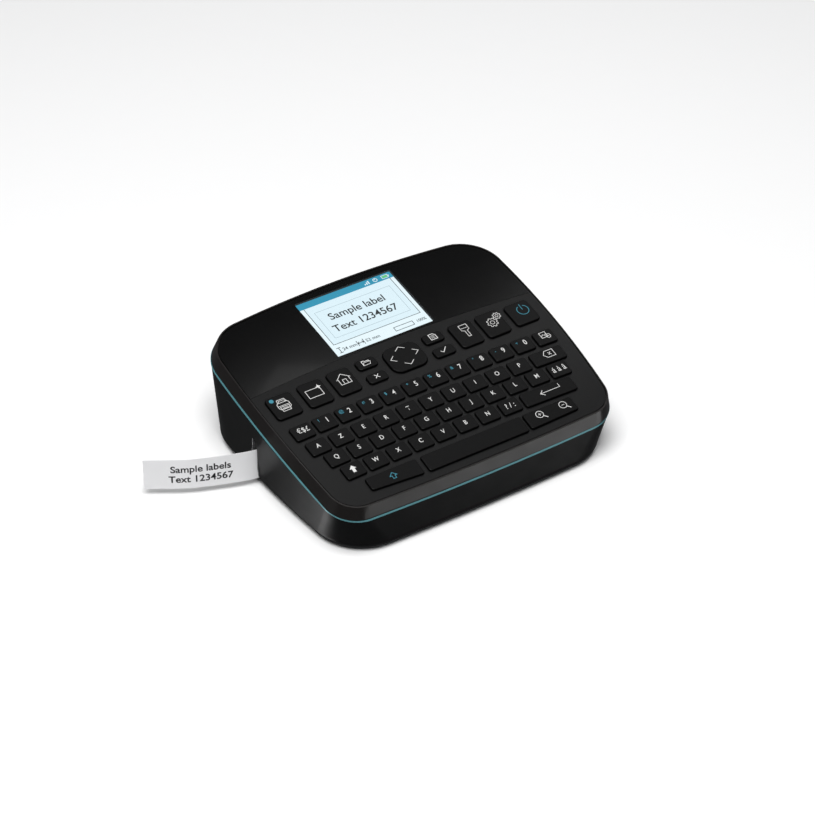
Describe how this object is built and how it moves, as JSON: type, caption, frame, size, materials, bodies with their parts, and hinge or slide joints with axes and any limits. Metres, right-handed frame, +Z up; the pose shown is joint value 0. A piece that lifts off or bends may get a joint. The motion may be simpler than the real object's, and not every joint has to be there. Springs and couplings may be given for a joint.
{
  "type": "label maker",
  "caption": "Desktop label maker with an arched keyboard deck, colour display, tape cassette bay and a side slot with a printed label coming out.",
  "frame": {"origin": "on the surface that the feet stand on, under the middle of the case", "axes": "+Z up, -Y towards the typist, +X to the typist's right; the label leaves on the -X side"},
  "size_m": [0.2982, 0.1865, 0.0754],
  "materials": {
    "case_plastic": "satin moulded black",
    "accent": "blue-green band",
    "rim_plastic": "gloss black",
    "deck_plastic": "fine satin black",
    "panel_gloss": "piano black",
    "lens": "clear window",
    "screen": "lit colour display",
    "silicone": "matte grey",
    "circuit_board": "green solder mask",
    "connector": "black",
    "steel": "zinc plated",
    "battery": "shrink wrapped",
    "foot_rubber": "matte",
    "aluminium": "plain",
    "motor_steel": "plain",
    "trim_plastic": "black",
    "cassette_plastic": "light grey",
    "tape": "white film",
    "platen_rubber": "ground rubber",
    "brass": "plain",
    "gear_plastic": "natural acetal",
    "spool_plastic": "white",
    "ribbon_film": "black film",
    "key_plastic": "satin black"
  },
  "bodies": {
    "case": {"lower_housing": "case_plastic", "accent_band": "accent", "upper_bezel": "rim_plastic", "keyboard_deck": "deck_plastic", "display_panel": "panel_gloss", "display_lens": "lens", "lcd_panel": "screen", "key_mat": "silicone", "keypad_board": "circuit_board", "main_board": "circuit_board", "power_inlet": "connector", "usb_socket": "steel", "battery_pack": "battery", "rubber_feet": "foot_rubber", "screws": "steel", "mechanism_chassis": "steel", "print_head": "aluminium", "feed_motor": "motor_steel", "cutter_motor": "motor_steel", "cutter_frame": "steel", "label_exit_guide": "trim_plastic", "cassette_case": "cassette_plastic", "cassette_cover": "cassette_plastic", "label_tape": "tape", "printed_label": "tape", "door_hinge_pin": "steel"},
    "print_key": {"print_key": "key_plastic"},
    "preview_key": {"preview_key": "key_plastic"},
    "home_key": {"home_key": "key_plastic"},
    "open_key": {"open_key": "key_plastic"},
    "cancel_key": {"cancel_key": "key_plastic"},
    "save_key": {"save_key": "key_plastic"},
    "ok_key": {"ok_key": "key_plastic"},
    "format_key": {"format_key": "key_plastic"},
    "settings_key": {"settings_key": "key_plastic"},
    "power_key": {"power_key": "key_plastic"},
    "backspace_key": {"backspace_key": "key_plastic"},
    "enter_key": {"enter_key": "key_plastic"},
    "shift_key": {"shift_key": "key_plastic"},
    "space_bar": {"space_bar": "key_plastic"},
    "number_row_keys": {"number_row_keys": "key_plastic"},
    "upper_letter_keys": {"upper_letter_keys": "key_plastic"},
    "middle_letter_keys": {"middle_letter_keys": "key_plastic"},
    "lower_letter_keys": {"lower_letter_keys": "key_plastic"},
    "navigation_pivot": {"navigation_pivot": "key_plastic"},
    "navigation_pad": {"navigation_pad": "key_plastic"},
    "zoom_key": {"zoom_key": "key_plastic"},
    "battery_cover": {"battery_cover": "case_plastic"},
    "cassette_door": {"cassette_door": "case_plastic"},
    "tape_spool": {"tape_spool": "tape"},
    "platen": {"platen_roller": "platen_rubber", "platen_gear": "brass"},
    "idler_gear": {"idler_gear": "gear_plastic"},
    "ribbon_drive": {"ribbon_drive_gear": "gear_plastic", "ribbon_takeup_spool": "spool_plastic"},
    "ribbon_supply_spool": {"ribbon_supply_spool": "ribbon_film"},
    "motor_pinion": {"motor_pinion": "brass"},
    "cutter_carriage": {"cutter_carriage": "gear_plastic", "cutter_blade": "steel"},
    "cutter_pinion": {"cutter_pinion": "brass"}
  },
  "joints": [
    {"name": "print_key_press", "type": "slide", "parent": "case", "child": "print_key", "axis": [0, 0.1856, -0.9826], "range_m": [0, 0.0012], "stiffness_N_per_m": 300, "springref_m": -0.0015},
    {"name": "preview_key_press", "type": "slide", "parent": "case", "child": "preview_key", "axis": [0, 0.1853, -0.9827], "range_m": [0, 0.0012], "stiffness_N_per_m": 300, "springref_m": -0.0015},
    {"name": "home_key_press", "type": "slide", "parent": "case", "child": "home_key", "axis": [0, 0.1849, -0.9828], "range_m": [0, 0.0012], "stiffness_N_per_m": 300, "springref_m": -0.0015},
    {"name": "open_key_press", "type": "slide", "parent": "case", "child": "open_key", "axis": [0, 0.1798, -0.9837], "range_m": [0, 0.0012], "stiffness_N_per_m": 300, "springref_m": -0.0015},
    {"name": "cancel_key_press", "type": "slide", "parent": "case", "child": "cancel_key", "axis": [0, 0.1894, -0.9819], "range_m": [0, 0.0012], "stiffness_N_per_m": 300, "springref_m": -0.0015},
    {"name": "save_key_press", "type": "slide", "parent": "case", "child": "save_key", "axis": [0, 0.1798, -0.9837], "range_m": [0, 0.0012], "stiffness_N_per_m": 300, "springref_m": -0.0015},
    {"name": "ok_key_press", "type": "slide", "parent": "case", "child": "ok_key", "axis": [0, 0.1893, -0.9819], "range_m": [0, 0.0012], "stiffness_N_per_m": 300, "springref_m": -0.0015},
    {"name": "format_key_press", "type": "slide", "parent": "case", "child": "format_key", "axis": [0, 0.1846, -0.9828], "range_m": [0, 0.0012], "stiffness_N_per_m": 300, "springref_m": -0.0015},
    {"name": "settings_key_press", "type": "slide", "parent": "case", "child": "settings_key", "axis": [0, 0.1847, -0.9828], "range_m": [0, 0.0012], "stiffness_N_per_m": 300, "springref_m": -0.0015},
    {"name": "power_key_press", "type": "slide", "parent": "case", "child": "power_key", "axis": [0, 0.1848, -0.9828], "range_m": [0, 0.0012], "stiffness_N_per_m": 300, "springref_m": -0.0015},
    {"name": "backspace_key_press", "type": "slide", "parent": "case", "child": "backspace_key", "axis": [0, 0.2136, -0.9769], "range_m": [0, 0.0012], "stiffness_N_per_m": 300, "springref_m": -0.0015},
    {"name": "enter_key_press", "type": "slide", "parent": "case", "child": "enter_key", "axis": [0, 0.2321, -0.9727], "range_m": [0, 0.0012], "stiffness_N_per_m": 300, "springref_m": -0.0015},
    {"name": "shift_key_press", "type": "slide", "parent": "case", "child": "shift_key", "axis": [0, 0.2431, -0.97], "range_m": [0, 0.0012], "stiffness_N_per_m": 300, "springref_m": -0.0015},
    {"name": "space_bar_press", "type": "slide", "parent": "case", "child": "space_bar", "axis": [0, 0.2432, -0.97], "range_m": [0, 0.0012], "stiffness_N_per_m": 300, "springref_m": -0.0015},
    {"name": "number_row_keys_press", "type": "slide", "parent": "case", "child": "number_row_keys", "axis": [0, 0.202, -0.9794], "range_m": [0, 0.0012], "stiffness_N_per_m": 300, "springref_m": -0.0015},
    {"name": "upper_letter_keys_press", "type": "slide", "parent": "case", "child": "upper_letter_keys", "axis": [0, 0.2127, -0.9771], "range_m": [0, 0.0012], "stiffness_N_per_m": 300, "springref_m": -0.0015},
    {"name": "middle_letter_keys_press", "type": "slide", "parent": "case", "child": "middle_letter_keys", "axis": [0, 0.2219, -0.9751], "range_m": [0, 0.0012], "stiffness_N_per_m": 300, "springref_m": -0.0015},
    {"name": "lower_letter_keys_press", "type": "slide", "parent": "case", "child": "lower_letter_keys", "axis": [0, 0.2314, -0.9729], "range_m": [0, 0.0012], "stiffness_N_per_m": 300, "springref_m": -0.0015},
    {"name": "navigation_side_tilt", "type": "hinge", "parent": "case", "child": "navigation_pivot", "pos_m": [0.0001, 0.00818, 0.05813], "axis": [0, 0.9829, 0.1844], "range_deg": [-2.5, 2.5], "stiffness_Nm_per_rad": 0.03},
    {"name": "navigation_up_down_tilt", "type": "hinge", "parent": "navigation_pivot", "child": "navigation_pad", "pos_m": [0.0001, 0.00818, 0.05813], "axis": [1, 0, 0], "range_deg": [-2.5, 2.5], "stiffness_Nm_per_rad": 0.03},
    {"name": "zoom_key_rock", "type": "hinge", "parent": "case", "child": "zoom_key", "pos_m": [0.0611, -0.07467, 0.03999], "axis": [0, 0.97, 0.2431], "range_deg": [-2.6, 2.6], "stiffness_Nm_per_rad": 0.03},
    {"name": "battery_cover_slide", "type": "slide", "parent": "case", "child": "battery_cover", "axis": [0, 1, 0], "range_m": [0, 0.01]},
    {"name": "cassette_door_hinge", "type": "hinge", "parent": "case", "child": "cassette_door", "pos_m": [-0.032, 0.0662, 0.0037], "axis": [1, 0, 0], "range_deg": [0, 100]},
    {"name": "tape_spool_spin", "type": "hinge", "parent": "case", "child": "tape_spool", "pos_m": [-0.014, 0.0355, 0.035], "axis": [0, 0, 1], "continuous": true},
    {"name": "platen_spin", "type": "hinge", "parent": "case", "child": "platen", "pos_m": [-0.084, 0.0062, 0.035], "axis": [0, 0, 1], "continuous": true},
    {"name": "idler_spin", "type": "hinge", "parent": "case", "child": "idler_gear", "pos_m": [-0.06522, 0.01019, 0.035], "axis": [0, 0, 1], "continuous": true},
    {"name": "ribbon_drive_spin", "type": "hinge", "parent": "case", "child": "ribbon_drive", "pos_m": [-0.04706, 0.02398, 0.035], "axis": [0, 0, 1], "continuous": true},
    {"name": "ribbon_supply_spin", "type": "hinge", "parent": "case", "child": "ribbon_supply_spool", "pos_m": [-0.0525, 0.0475, 0.035], "axis": [0, 0, 1], "continuous": true},
    {"name": "motor_pinion_spin", "type": "hinge", "parent": "case", "child": "motor_pinion", "pos_m": [-0.06118, -0.00488, 0.035], "axis": [0, 0, 1], "continuous": true},
    {"name": "cutter_slide", "type": "slide", "parent": "case", "child": "cutter_carriage", "axis": [0, 1, 0], "range_m": [0, 0.008]},
    {"name": "cutter_pinion_spin", "type": "hinge", "parent": "case", "child": "cutter_pinion", "pos_m": [-0.0864, -0.014, 0.035], "axis": [0, 0, 1], "range_deg": [-135, 5]}
  ],
  "couplings": [
    {"joint": "platen_spin", "follows": "tape_spool_spin", "ratio": -4.71},
    {"joint": "idler_spin", "follows": "tape_spool_spin", "ratio": 2.826},
    {"joint": "ribbon_drive_spin", "follows": "tape_spool_spin", "ratio": -3.14},
    {"joint": "ribbon_supply_spin", "follows": "tape_spool_spin", "ratio": 2.0933},
    {"joint": "motor_pinion_spin", "follows": "tape_spool_spin", "ratio": -9.42},
    {"joint": "cutter_pinion_spin", "follows": "cutter_slide", "rad_per_m": -277.78}
  ]
}
